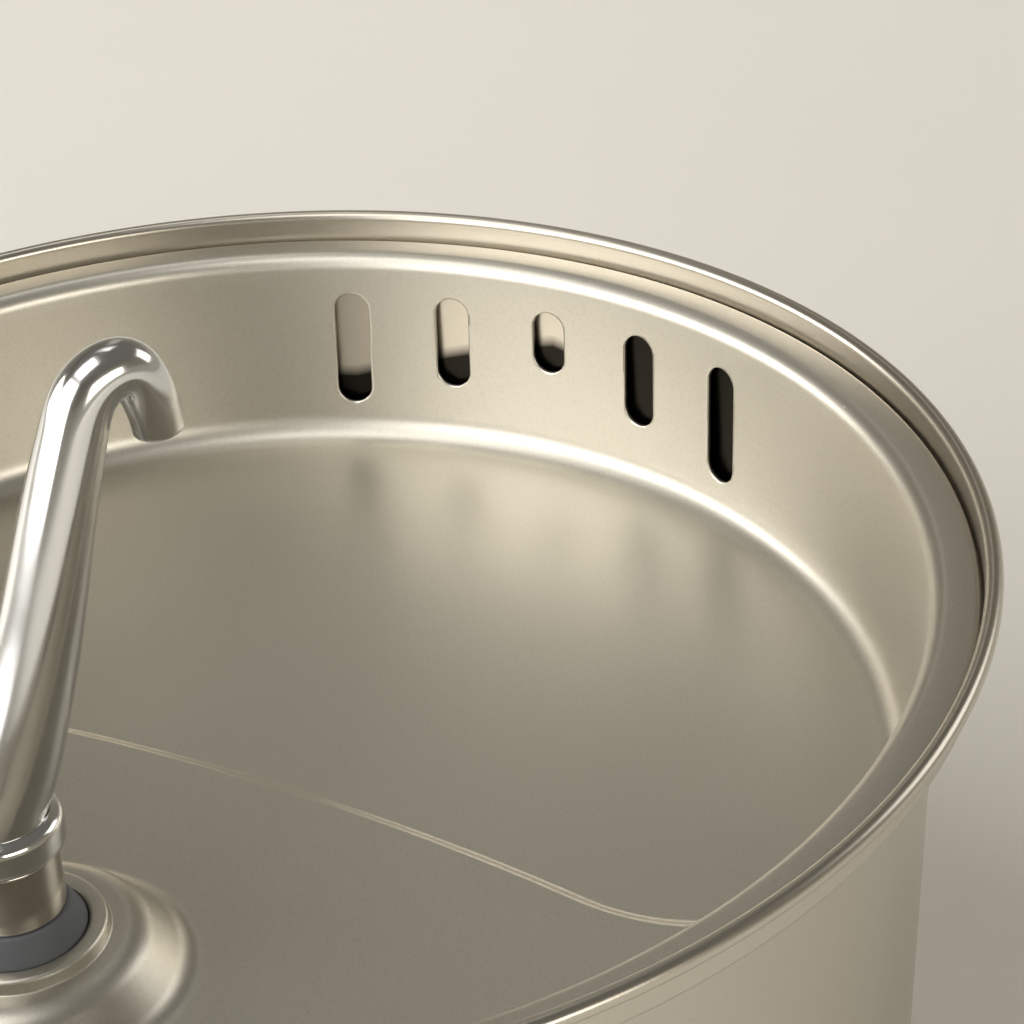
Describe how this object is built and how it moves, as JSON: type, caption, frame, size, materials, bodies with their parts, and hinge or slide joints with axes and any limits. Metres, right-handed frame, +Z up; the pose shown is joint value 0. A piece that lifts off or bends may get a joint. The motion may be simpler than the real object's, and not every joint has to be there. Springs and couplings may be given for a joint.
{
  "type": "pet water fountain",
  "caption": "Round steel pet water fountain: deep tank, lift-out drinking tray with drain slots, swivelling gooseneck faucet, submersible pump and filter box.",
  "frame": {"origin": "centre of the underside of the anti-slip ring, on the surface the fountain stands on", "axes": "+Z up, +Y from the faucet towards the drain slots, +X to the right seen from the faucet side"},
  "size_m": [0.21, 0.21, 0.1614],
  "materials": {
    "tank_steel": "satin",
    "tray_steel": "satin",
    "faucet_chrome": "polished",
    "collar_steel": "satin",
    "nut_plastic": "matte",
    "washer_steel": "satin",
    "dark_silicone": "matte",
    "base_silicone": "matte",
    "clear_silicone": "translucent",
    "black_rubber": "matte",
    "insert_plastic": "matte",
    "pump_plastic": "matte",
    "box_plastic": "satin",
    "cartridge_plastic": "matte",
    "gate_plastic": "satin",
    "impeller_plastic": "satin",
    "ferrite": "matte",
    "lamination": "satin",
    "copper": "enamelled",
    "ceramic": "polished",
    "carbon": "granular",
    "cotton": "fibrous",
    "foam": "open cell"
  },
  "bodies": {
    "base": {"tank": "tank_steel", "base_ring": "base_silicone", "cord_grommet": "dark_silicone", "filter_box": "box_plastic", "pump_can": "pump_plastic", "can_plate": "pump_plastic", "cable_gland": "black_rubber", "stator_core": "lamination", "bobbin": "cartridge_plastic", "coil": "copper", "pump_chamber": "pump_plastic", "intake_cover": "pump_plastic", "rotor_shaft": "ceramic", "shaft_seats": "black_rubber", "suction_cups": "black_rubber", "foam_block": "foam", "box_lid": "box_plastic", "cartridge_shell": "cartridge_plastic", "carbon_bed": "carbon", "cotton_pad": "cotton", "mesh_cap": "cartridge_plastic"},
    "tray_unit": {"tray": "tray_steel", "boss_grommet": "dark_silicone", "washer": "washer_steel", "lock_nut": "nut_plastic", "faucet_collar": "collar_steel", "hose": "clear_silicone"},
    "spout": {"ferrule": "faucet_chrome", "gooseneck": "faucet_chrome", "outlet_insert": "insert_plastic", "collar_oring": "black_rubber"},
    "gate": {"flow_gate": "gate_plastic"},
    "rotor": {"rotor_magnet": "ferrite", "impeller": "impeller_plastic"}
  },
  "joints": [
    {"name": "tray_lift", "type": "slide", "parent": "base", "child": "tray_unit", "axis": [0, 0, 1], "range_m": [0, 0.12]},
    {"name": "spout_swivel", "type": "hinge", "parent": "tray_unit", "child": "spout", "pos_m": [0, -0.0485, 0.0985], "axis": [0, 0, 1], "continuous": true},
    {"name": "rotor_spin", "type": "hinge", "parent": "base", "child": "rotor", "pos_m": [0, -0.0575, 0.029], "axis": [0, 1, 0], "continuous": true},
    {"name": "flow_gate_turn", "type": "hinge", "parent": "base", "child": "gate", "pos_m": [0, -0.0412, 0.029], "axis": [0, -1, 0], "range_deg": [0, 50]}
  ]
}
